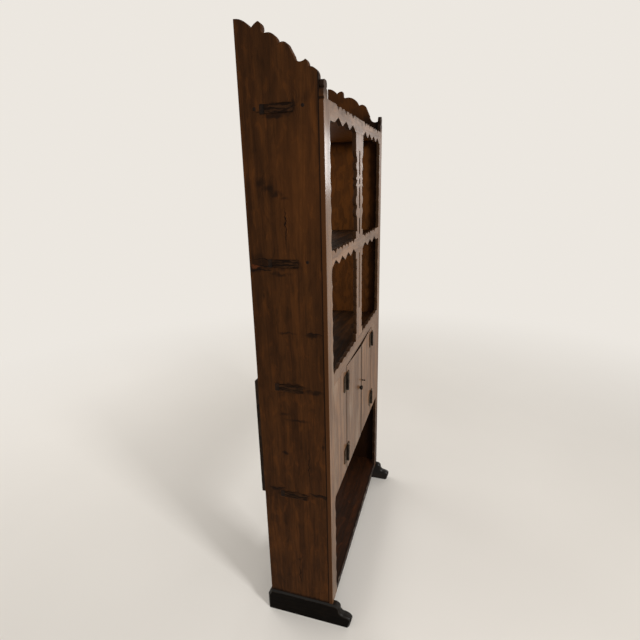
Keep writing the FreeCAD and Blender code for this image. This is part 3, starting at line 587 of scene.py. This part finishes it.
def smoked(finish, turn=1):
    """Smear and crack a side round its tenons; its seam has dirt, its foot dirt and painted shade.
    """
    rubbed = finish.blot(finish.ragged(*RUBBED_TEAR), RUBBED_PLACE, RUBBED_REACH)
    finish.over(rubbed, RUBBED_SHARE, finish.look["glow"])
    outer = finish.ease(finish.from_middle(), *OUTER_STEP)
    torn = finish.ragged(*MARK_TEAR)
    smears = finish.most([finish.times(finish.blot(torn, place, reach), strength)
                          for place, reach, strength in on_side(SMEARS, turn)])
    smears = finish.times(smears, finish.between(finish.mottle, *BROKEN), outer)
    finish.over(finish.ease(smears, *SMEAR_STEP), SMEAR_SHARE, SMOKE)
    split = finish.ease(finish.blot(torn, SPLIT_PLACE, SPLIT_REACH), *SPLIT_STEP)
    finish.over(finish.times(split, outer), SPLIT_SHARE, SPLIT)
    checks = finish.most([finish.blot(torn, *mark) for mark in on_side(CHECKS, turn)])
    finish.over(finish.times(finish.ease(checks, *CHECK_STEP), outer), CHECK_SHARE, CRACK_DIRT_AND_SHADE)
    seam = finish.ease(finish.axis("Y"), *SEAM_STEP, SEAM)
    # The foot line is dirt and painted contact shade.
    height = finish.wandering_height(-FOOT_DIRT_AND_SHADE)
    foot_grime_and_shade = finish.ease(height, FOOT_DIRT_AND_SHADE / 2, -FOOT_DIRT_AND_SHADE / 2, FOOT_TOP)
    finish.over(finish.times(finish.most([seam, foot_grime_and_shade]), outer), DIRT_AND_SHADE_SHARE, CRACK_DIRT_AND_SHADE)


print("foot dirt from", round(FOOT_TOP, 3), "m up")

# %% [markdown]
# The inner faces are painted light: a warmer, lighter brown than the outer faces, as if lit.
# Above the top board they are darker, with painted shade at the front of the crest. Painted shade
# below the cupboard makes them nearly black, and painted shade lies in the corners by each shelf
# and behind the front frame. Soft steps and ovals on the width, the depth and the height find
# these places, so one finish does for both faces of a board.

# %% The inner faces of the sides
# The inner tones are painted light, and the deep tone is painted shade.
INNER_LIT_BODY, INNER_LIT_WARM, PAINTED_DEEP_SHADE = tone(70, 40, 15), tone(96, 55, 20), tone(15, 6, 3)
INNER_STEP, INNER_LIGHT_SHARE, INNER_MOTTLE = (0.4495, 0.4485), 0.62, (0.38, 0.62)
# The crest is darker above the top board, and painted shade lies at its front.
CREST_FOOT, CREST_STEP, CREST_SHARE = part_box("top_board")[1].z, (-0.01, 0.03), 0.34
CREST_PLACE, CREST_REACH, CREST_TEAR = (0, -0.070, 1.885), (None, 0.150, 0.085), (20.0, 0.03)
# How far painted shade reaches from a shelf and from the front frame, in metres.
SHELF_SHADE_REACH, FRAME_SHADE_REACH, CORNER_TEAR = 0.034, 0.056, (24.0, 0.030)
# Each shelf and how much painted shade darkens the inner faces below it.
INNER_SHADES = [(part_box("middle_shelf")[0].z, 0.18), (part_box("cupboard_floor")[0].z, 0.90)]
SHADE_STEP = (0.02, -0.06)


def shaded_corners(finish, inside):
    """Painted shade on the inner face by each shelf and behind the front frame."""
    torn = finish.ragged(*CORNER_TEAR)
    corners = [finish.blot(torn, (0, 0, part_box(name)[0].z), (None, None, SHELF_SHADE_REACH))
               for name in SHELVES]
    corners.append(finish.blot(torn, (0, SEAM, 0), (None, FRAME_SHADE_REACH, None)))
    finish.over(finish.times(finish.most(corners), inside), DIRT_AND_SHADE_SHARE, PAINTED_DEEP_SHADE)


def lit_and_shaded_inside(finish):
    """Painted light inside, a darker crest, painted shade at its front, in corners and low down."""
    inside = finish.ease(finish.from_middle(), *INNER_STEP)
    # Painted light: the inner face is lifted to a warmer, lighter brown.
    warm = finish.blend(finish.ease(finish.mottle, *INNER_MOTTLE), INNER_LIT_BODY, INNER_LIT_WARM)
    finish.over(inside, INNER_LIGHT_SHARE, warm)
    above = finish.ease(finish.axis("Z"), *CREST_STEP, CREST_FOOT)
    finish.over(finish.times(above, inside), CREST_SHARE, SMOKE)
    # Painted shade at the front of the crest.
    crest = finish.blot(finish.ragged(*CREST_TEAR), CREST_PLACE, CREST_REACH)
    finish.over(finish.times(crest, inside), DIRT_AND_SHADE_SHARE, CRACK_DIRT_AND_SHADE)
    shaded_corners(finish, inside)
    # Painted shade below each shelf, nearly black below the cupboard.
    for height, share in INNER_SHADES:
        low = finish.ease(finish.axis("Z"), *SHADE_STEP, height)
        finish.over(finish.times(low, inside), share, PAINTED_DEEP_SHADE)


grain, first, names = BOARDS["side"]
edge = worn_edge("side", grain)
smoked(edge)
edge.done()
for number, name in enumerate(names, start=first):
    finish = Plank(f"{name}_wood", grain, LOOKS["side"], offset_for(number), SIDE_KNOTS[name])
    smoked(finish, 1 if name == "left_side" else -1)
    lit_and_shaded_inside(finish)
    dress(name, finish.done(), edge.material, EDGE_WIDTHS["side"])
print(len(names), "sides dressed")

# %% [markdown]
# A shelf's underside is painted light, a lighter and warmer brown. The tenon ends are end grain,
# which drinks stain and turns nearly black, apart from paler streaks. They could be pieces of their
# own, but the ends are where the distance from the middle is greatest, so a soft step on the width
# is enough to find them.

# %% The shelves
END_STEP, END_GRAIN, END_SHARE = (0.4700, 0.4715), tone(52, 33, 19), 0.95
END_TEAR, END_SQUEEZE = (60.0, 0.008), 0.10
PORE_SCALE, PORE_DETAIL, PORE_STEP = 190.0, 3.0, (0.42, 0.64)
UNDERSIDE_LIGHT_STEP, UNDERSIDE_LIGHT_SHARE = (0.0012, 0.0004), 0.6


def black_ends(finish):
    """Stain the tenon ends of a shelf, and streak them from front to back."""
    end = finish.ease(finish.from_middle(), *END_STEP)
    rings = finish.stretch(squeezed(GRAIN_Y, END_SQUEEZE), spot=finish.ragged(*END_TEAR))
    pores = finish.ease(finish.noise(rings, PORE_SCALE, PORE_DETAIL), *PORE_STEP)
    finish.over(end, END_SHARE, finish.blend(pores, SMOKE, END_GRAIN))
    return finish.done()


grain, first, names = BOARDS["shelf"]
edge = black_ends(worn_edge("shelf", grain))
for number, name in enumerate(names, start=first):
    knots = strewn_knots(name, number)
    finish = Plank(f"{name}_wood", grain, LOOKS["shelf"], offset_for(number), knots)
    # Painted light on the shelf's underside.
    lit_underside = finish.ease(finish.axis("Z"), *UNDERSIDE_LIGHT_STEP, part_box(name)[0].z)
    finish.over(lit_underside, UNDERSIDE_LIGHT_SHARE, INNER_LIT_WARM)
    dress(name, black_ends(finish), edge, EDGE_WIDTHS["shelf"])
print(len(names), "shelves and battens")

# %% [markdown]
# The front boards were waxed on their faces only. Their sawn edges and fretted curves stayed rough
# and dark, and that contrast is what makes the fretting stand out. A soft step on the depth tells
# the face from the edges. A glossier wood could stand for the wax, but wax is a clear coat over the
# wood, and the shader has a coat of its own. It was rubbed on in streaks, thinner towards the right
# and low down, and the blackened ears, the dirt and the painted shade have none.

# %% A coat of wax
FRONT_PLANE, FACE_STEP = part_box("left_panel")[0].y, (0.0004, 0.0012)
SAWN, SAWN_SHARE, OUTER_WARMTH = tone(42, 25, 12), 0.9, 0.35
EAR_FOOT, EAR_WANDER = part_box("top_rail")[1].z, 0.10
EAR_STEP, EAR_SHARE = (0.026, 0.080), 0.75
# How thick the wax is from left to right, from low to high, and from streak to streak.
ACROSS_STEP, WAX_LEFT, WAX_RIGHT = (-0.45, 0.45), 0.42, 0.19
HEIGHT_STEP, WAX_LOW, WAX_HIGH = (0.4, 1.4), 0.86, 1.0
WAX_STREAKS, WAX_ROUGHNESS = (0.4, 1.6), 0.22


def wax(finish, dirt=()):
    """Wax a front board's face; its sawn edges, ears, dirt and painted shade stay dark and dull."""
    behind = finish.ease(finish.axis("Y"), *FACE_STEP, FRONT_PLANE)
    finish.over(behind, SAWN_SHARE, SAWN)
    outer = finish.ease(finish.from_middle(), *END_STEP)
    finish.over(finish.times(behind, outer), OUTER_WARMTH, LOOKS["side"]["glow"])
    # Each mark is joint grime on a door or panel, and painted shade on the right stile's foot.
    for grime in dirt:
        finish.over(grime, 1.0, CRACK_DIRT_AND_SHADE)
    ear = finish.ease(finish.wandering_height(EAR_WANDER), *EAR_STEP, EAR_FOOT)
    finish.over(ear, EAR_SHARE, SMOKE)
    coat = finish.times(
        finish.calc("SUBTRACT", 1.0, finish.most([behind, ear, *dirt])),
        finish.between(finish.ease(finish.axis("X"), *ACROSS_STEP), WAX_LEFT, WAX_RIGHT),
        finish.between(finish.ease(finish.axis("Z"), *HEIGHT_STEP), WAX_LOW, WAX_HIGH),
        finish.between(finish.streak, *WAX_STREAKS))
    finish.feed(finish.skin.inputs["Coat Weight"], coat)
    finish.skin.inputs["Coat Roughness"].default_value = WAX_ROUGHNESS
    return finish.done()


print("wax from", WAX_LEFT, "on the left to", WAX_RIGHT, "on the right")

# %% [markdown]
# Hands and feet have greyed the front in places, so a pale veil is laid over it by noise. Grime has
# filled the doors' open joints, and painted shade darkens the foot of the right stile. A joint is
# only a line, so it is an oval that has no end upwards or downwards. The rails are front boards
# too, but their grain lies across the cabinet.

# %% The waxed front
VEIL, VEIL_STEP, VEIL_SHARE = tone(138, 118, 98), (0.54, 0.72), 0.45
VEIL_SQUEEZE, VEIL_SCALE, VEIL_DETAIL = 0.3, 11.0, 5.0
CUPBOARD = ("_panel", "_door")
# Each open joint is a place across the front and how far its grime spreads, in metres.
DOOR_JOINTS = [((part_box("left_door")[1].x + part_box("right_door")[0].x) / 2, 0.018),
               (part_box("left_door")[0].x, 0.011), (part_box("right_door")[1].x, 0.011)]
JOINT_TEAR, JOINT_STEP, JOINT_DIRT = (30.0, 0.004), (0.0, 0.7), 0.90
# Painted shade darkens the right stile's foot, up to a wandering height.
DOOR_FOOT, STILE_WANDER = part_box("left_door")[0].z, 0.16
STILE_STEP, STILE_FOOT_SHADE = (0.100, -0.060), 0.70


def front_dirt_and_shade(finish, name):
    """Grime along the doors' open joints, or painted shade at the right stile's foot."""
    if name.endswith(CUPBOARD):
        torn = finish.ragged(*JOINT_TEAR)
        joints = finish.most([finish.blot(torn, (x, 0, 0), (reach, None, None))
                              for x, reach in DOOR_JOINTS])
        return [finish.times(finish.ease(joints, *JOINT_STEP), JOINT_DIRT)]
    # Painted shade at the foot of the right stile.
    if name == "right_stile":
        low = finish.ease(finish.wandering_height(STILE_WANDER), *STILE_STEP, DOOR_FOOT)
        return [finish.times(low, STILE_FOOT_SHADE)]
    return []


for family in ("front", "rail"):
    grain, first, names = BOARDS[family]
    edge = wax(worn_edge("front", grain))
    for number, name in enumerate(names, start=first):
        knots = strewn_knots(name, number) if name.endswith(CUPBOARD) else ()
        finish = Plank(f"{name}_wood", grain, LOOKS["front"], offset_for(number), knots)
        along = finish.stretch(squeezed(grain, VEIL_SQUEEZE))
        greyed = finish.ease(finish.noise(along, VEIL_SCALE, VEIL_DETAIL), *VEIL_STEP)
        finish.over(greyed, VEIL_SHARE, VEIL)
        dress(name, wax(finish, front_dirt_and_shade(finish, name)), edge, EDGE_WIDTHS["front"])
    print(len(names), family, "boards waxed")

# %% [markdown]
# The base board takes the knocks: its front is nearly black with boot polish, chipped in pale
# spots along the lip. The feet are black and polished by passing shoes, and the back planks were
# never planed. One loop dresses these with what is already at hand.

# %% The base, the feet, the back and the wedges
LIP_STEP, LIP_SHARE = (0.012, 0.004), 0.9
# The polish is on all of a foot but its flat outer face.
FOOT_FACE, FOOT_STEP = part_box("right_foot")[1].x, (-0.0002, -0.0012)
FOOT_POLISH, FOOT_ROUGHNESS = 0.4, 0.38
for family in ("base", "foot", "back", "wedge"):
    grain, first, names = BOARDS[family]
    edge = worn_edge(family, grain).done()
    for number, name in enumerate(names, start=first):
        knots = strewn_knots(name, number) if family in ("base", "back") else ()
        finish = Plank(f"{name}_wood", grain, LOOKS[family], offset_for(number), knots)
        if family == "base":
            lip = finish.ease(finish.axis("Y"), *LIP_STEP, FRONT_PLANE)
            finish.over(lip, LIP_SHARE, CRACK_DIRT_AND_SHADE)
        if family == "foot":
            inner = finish.ease(finish.from_middle(), *FOOT_STEP, FOOT_FACE)
            finish.feed(finish.skin.inputs["Coat Weight"], finish.times(inner, FOOT_POLISH))
            finish.skin.inputs["Coat Roughness"].default_value = FOOT_ROUGHNESS
        dress(name, finish.done(), edge, EDGE_WIDTHS[family])
    print(len(names), family, "boards dressed")

# %% [markdown]
# ## Forged iron
#
# The hinges, the pull and the knob are black iron from a forge. Iron is a metal, but its skin is
# burnt oxide, so it reflects little and unevenly, and old wax gives its shine a warm tint. Two
# noises do this: a slow one for the dull and bright places and a quick one for hammer marks. Rust
# shows only in the deepest places.

# %% Black iron
IRON_DARK, IRON_PALE, RUST = tone(26, 23, 20), tone(52, 47, 42), tone(58, 36, 24)
WARM_SKIN, METAL, IRON_SHINE, IRON_ROUGHNESS = tone(226, 204, 184), 0.75, 0.5, 0.5
SLOW_SCALE, QUICK_SCALE, IRON_DETAIL = 80.0, 420.0, 3.0
PALE_STEP, RUST_STEP, PIT_STEP, RUST_SHARE = (0.40, 0.68), (0.56, 0.74), (0.56, 0.38), 0.7
DULL_TO_BRIGHT = (0.50, 0.26)
SLOW_RELIEF, QUICK_RELIEF, IRON_RELIEF = 0.6, 0.4, 0.0003
IRON_EDGE = 0.0004


def forged_iron(name, dark, pale):
    """Black iron with worn high places, hammer marks and a breath of rust."""
    finish = Finish(name, IRON_SHINE, IRON_ROUGHNESS)
    finish.skin.inputs["Metallic"].default_value = METAL
    finish.skin.inputs["Specular Tint"].default_value = WARM_SKIN
    slow = finish.noise(finish.spot, SLOW_SCALE, IRON_DETAIL)
    quick = finish.noise(finish.spot, QUICK_SCALE, IRON_DETAIL)
    colour = finish.blend(finish.ease(slow, *PALE_STEP), dark, pale)
    rusty = finish.times(finish.ease(quick, *RUST_STEP), finish.ease(slow, *PIT_STEP), RUST_SHARE)
    finish.feed(finish.skin.inputs["Base Color"], finish.blend(rusty, colour, RUST))
    finish.feed(finish.skin.inputs["Roughness"], finish.between(slow, *DULL_TO_BRIGHT))
    relief = finish.calc("ADD", finish.times(slow, SLOW_RELIEF), finish.times(quick, QUICK_RELIEF))
    finish.dent(relief, IRON_RELIEF)
    return finish.material


iron = forged_iron("black_iron", IRON_DARK, IRON_PALE)
IRON_PARTS = [name for name in parts if name.endswith(("_leaf", "_pin"))]
IRON_PARTS += ["knob", "latch_bar", "right_pull"]
for name in IRON_PARTS:
    dress(name, iron, iron, IRON_EDGE)
print(len(IRON_PARTS), "iron pieces")

# %% [markdown]
# ## The turned knob
#
# The solid knob is a few straight cones, which is right for sums and collisions but looks hard up
# close. A turned knob has a flowing outline. A lathe is a spin: a few points of the outline are
# joined by edges and swept once round the axis. A Subdivision Surface then rounds the outline. The
# small peg that pulls the right door is forged, not turned, but the same spin shapes it.

# %% Turn the knob and the pull
KNOB_STEPS, KNOB_LEVELS, SAME_POINT = 24, 1, 1e-6
MILLIMETRES = 1000
handled_iron = forged_iron("handled_iron", tone(14, 13, 13), tone(26, 24, 23))
# Each pair is a radius and a distance behind the front, in millimetres.
KNOB_OUTLINE = [(0, 0.3), (3, 0.2), (5.6, 0.7), (8.6, 1.9), (10.4, 4.0), (10.9, 6.6), (10.2, 8.8),
                (8.0, 10.3), (5.9, 11.4), (5.1, 12.4), (5.1, 13.2), (4.9, 13.5), (4.1, 13.5),
                (4.0, 13.8), (4.0, 33.6), (3.8, 34.0), (0, 34.0)]
PULL_OUTLINE = [(0, 0.2), (2.2, 0.2), (3.3, 0.9), (3.5, 2.2), (3.1, 3.6), (2.3, 5.0), (2.1, 9.0),
                (2.5, 13.4), (3.3, 15.2), (3.4, 16.0), (0, 16.0)]


def to_object(shape, name):
    """Turn a finished bmesh into an object in the scene."""
    mesh = bpy.data.meshes.new(name)
    shape.to_mesh(mesh)
    shape.free()
    piece = bpy.data.objects.new(name, mesh)
    bpy.context.scene.collection.objects.link(piece)
    return piece


def turned_piece(name, outline, solid, body):
    """Spin an outline about the middle of a solid, from its front back, to stand for that solid."""
    low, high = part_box(solid)
    centre = Vector(((low.x + high.x) / 2, low.y, (low.z + high.z) / 2))
    shape = bmesh.new()
    points = [shape.verts.new(centre + Vector((radius, depth, 0)) / MILLIMETRES)
              for radius, depth in outline]
    edges = [shape.edges.new(pair) for pair in zip(points, points[1:])]
    bmesh.ops.spin(shape, geom=points + edges, cent=centre, axis=(0, 1, 0), angle=math.tau,
                   steps=KNOB_STEPS, use_merge=True, use_duplicate=False)
    bmesh.ops.remove_doubles(shape, verts=shape.verts, dist=SAME_POINT)
    bmesh.ops.recalc_face_normals(shape, faces=shape.faces)
    for face in shape.faces:
        face.smooth = True
    piece = to_object(shape, name)
    smooth = piece.modifiers.new("round_outline", "SUBSURF")
    smooth.levels = smooth.render_levels = KNOB_LEVELS
    piece.data.materials.append(handled_iron)
    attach(piece, body)
    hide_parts(solid)
    print(name, "turned with", len(piece.data.polygons), "faces")


turned_piece("turned_knob", KNOB_OUTLINE, "knob", "knob")
turned_piece("forged_pull", PULL_OUTLINE, "right_pull", "right_door")

# %% [markdown]
# ## Nails and pegs
#
# A forged nail has a head of a few hammered facets. A cone with seven sides, turned a little
# differently for each nail, looks hand made and costs few faces. All nails that ride on one body
# are one piece. Their heads stand proud, so they are rubbed a little paler than the plates they
# hold. Pegs are the same cone, flatter and wider, made of dark wood.

# %% A maker of nail heads
NAIL_SIDES, NAIL_RADIUS, NAIL_RISE = 7, 0.0034, 0.0016
# The crown and the rounded edge are shares of the radius and the rise.
NAIL_CROWN, NAIL_EDGE, NAIL_SINK = 0.45, 0.15, 0.0003
nail_iron = forged_iron("nail_iron", tone(44, 39, 35), tone(92, 85, 78))


def heads(name, spots, facing, radius, rise, finish, body):
    """Faceted heads at each spot, standing out along facing."""
    shape = bmesh.new()
    outward = Vector(facing)
    upright = outward.to_track_quat("Z", "Y").to_matrix()
    for number, spot in enumerate(spots):
        head = bmesh.ops.create_cone(shape, cap_ends=True, segments=NAIL_SIDES, radius1=radius,
                                     radius2=radius * NAIL_CROWN, depth=rise)["verts"]
        spin = upright @ Matrix.Rotation(number * GOLDEN * math.tau, 3, "Z")
        bmesh.ops.rotate(shape, verts=head, cent=(0, 0, 0), matrix=spin)
        seat = Vector(spot) + outward * (rise / 2 - NAIL_SINK)
        bmesh.ops.translate(shape, verts=head, vec=seat)
    bmesh.ops.bevel(shape, geom=list(shape.edges), offset=rise * NAIL_EDGE, affect="EDGES",
                    segments=1, profile=0.5, material=-1)
    piece = to_object(shape, name)
    piece.data.materials.append(finish)
    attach(piece, body)
    print(name, "has", len(spots), "heads")


# %% [markdown]
# Four nails hold each leaf of a hinge. Every place could be typed in by hand, but a nail's place is
# a share of its leaf's reach from the pin and of its height, so one short table serves all eight
# leaves, whichever way they point.

# %% Nails in the hinges
LEAF_NAILS = [(0.38, 0.18), (0.38, 0.82), (0.80, 0.34), (0.80, 0.66)]
LEAF_THICKNESS = 0.0025
LEFT, RIGHT, FORWARD, BACKWARD = (-1, 0, 0), (1, 0, 0), (0, -1, 0), (0, 1, 0)


def leaf_nails(side, level, kind):
    """Nail places on one hinge leaf."""
    low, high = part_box(f"{side}_{level}_{kind}_leaf")
    pin_low, pin_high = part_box(f"{side}_{level}_hinge_pin")
    axis = (pin_low.x + pin_high.x) / 2
    end = high.x if high.x - axis > axis - low.x else low.x
    plate = FRONT_PLANE - LEAF_THICKNESS
    return [(axis + (end - axis) * out, plate, low.z + (high.z - low.z) * up)
            for out, up in LEAF_NAILS]


for side in ("left", "right"):
    for kind, body in (("frame", "cabinet"), ("door", f"{side}_door")):
        spots = leaf_nails(side, "upper", kind) + leaf_nails(side, "lower", kind)
        heads(f"{side}_{kind}_hinge_nails", spots, FORWARD, NAIL_RADIUS, NAIL_RISE,
              nail_iron, body)

# %% [markdown]
# The back planks are nailed into the rear edges of the sides, two nails to a plank end. The top
# and middle shelves are also pinned through the sides with wooden pegs, beside their tenons.

# %% Nails in the back and pegs in the sides
BACK_NAIL_INSET, BACK_NAIL_UP = 0.012, (0.24, 0.76)
BACK_NAIL_RADIUS, BACK_NAIL_RISE = 0.0045, 0.0018
plank_spots = []
for name in BOARDS["back"][-1]:
    low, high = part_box(name)
    for x in (low.x + BACK_NAIL_INSET, high.x - BACK_NAIL_INSET):
        for share in BACK_NAIL_UP:
            plank_spots.append((x, high.y, low.z + (high.z - low.z) * share))
heads("back_nails", plank_spots, BACKWARD, BACK_NAIL_RADIUS, BACK_NAIL_RISE,
      nail_iron, "cabinet")

# Each peg is a place from front to back and a height. The feet stand out past the sides.
PEG_PLACES = [(-0.0375, 1.827), (0.1055, 1.826), (-0.0375, 1.399)]
FOOT_STANDS_OUT, PEG_RADIUS, PEG_RISE, PEG_NUMBER = 0.006, 0.0062, 0.0012, 101
peg_wood = Plank("peg_wood", GRAIN_X, LOOKS["wedge"], offset_for(PEG_NUMBER)).done()
for side, x, facing in (("left", solid_box[0].x + FOOT_STANDS_OUT, LEFT),
                        ("right", solid_box[1].x - FOOT_STANDS_OUT, RIGHT)):
    spots = [(x, y, z) for y, z in PEG_PLACES]
    heads(f"{side}_side_pegs", spots, facing, PEG_RADIUS, PEG_RISE,
          peg_wood, "cabinet")

# %% [markdown]
# ## The floor
#
# The floor is one large plain sheet. It catches the soft shadow that seats the feet. Far off it
# fades into the surround, as a studio's rolled paper does, so no horizon cuts the picture. The fade
# is for the eye and for reflections only: the Light Path node keeps it from adding light.

# %% Lay the floor
FLOOR_REACH, FADE_STEP = 30.0, (1.2, 4.2)
FLOOR_DARK, FLOOR_PALE = tone(228, 224, 218), tone(235, 231, 225)
FLOOR_SHINE, FLOOR_ROUGHNESS = 0.2, 0.55
CLOUD_SCALE, CLOUD_DETAIL = 1.3, 3.0
shape = bmesh.new()
bmesh.ops.create_grid(shape, x_segments=1, y_segments=1, size=FLOOR_REACH)
floor = to_object(shape, "floor")
paint = Finish("pale_floor", FLOOR_SHINE, FLOOR_ROUGHNESS)
cloud = paint.noise(paint.spot, CLOUD_SCALE, CLOUD_DETAIL)
paint.feed(paint.skin.inputs["Base Color"], paint.blend(cloud, FLOOR_DARK, FLOOR_PALE))
glow = paint.tree.nodes.new("ShaderNodeEmission")
glow.inputs["Color"].default_value = SURROUND
glow.inputs["Strength"].default_value = SEEN_STRENGTH
path_of = paint.tree.nodes.new("ShaderNodeLightPath").outputs
viewed = paint.most([path_of[f"Is {kind} Ray"] for kind in ("Camera", "Glossy", "Transmission")])
distance = paint.tree.nodes.new("ShaderNodeVectorMath")
distance.operation = "LENGTH"
paint.feed(distance.inputs[0], paint.spot)
fade = paint.times(paint.ease(distance.outputs["Value"], *FADE_STEP), viewed)
roll = paint.tree.nodes.new("ShaderNodeMixShader")
for socket, value in zip(roll.inputs, (fade, paint.skin.outputs[0], glow.outputs[0])):
    paint.feed(socket, value)
paint.feed(paint.tree.nodes["Material Output"].inputs["Surface"], roll.outputs[0])
floor.data.materials.append(paint.material)
print("floor", 2 * FLOOR_REACH, "m wide")
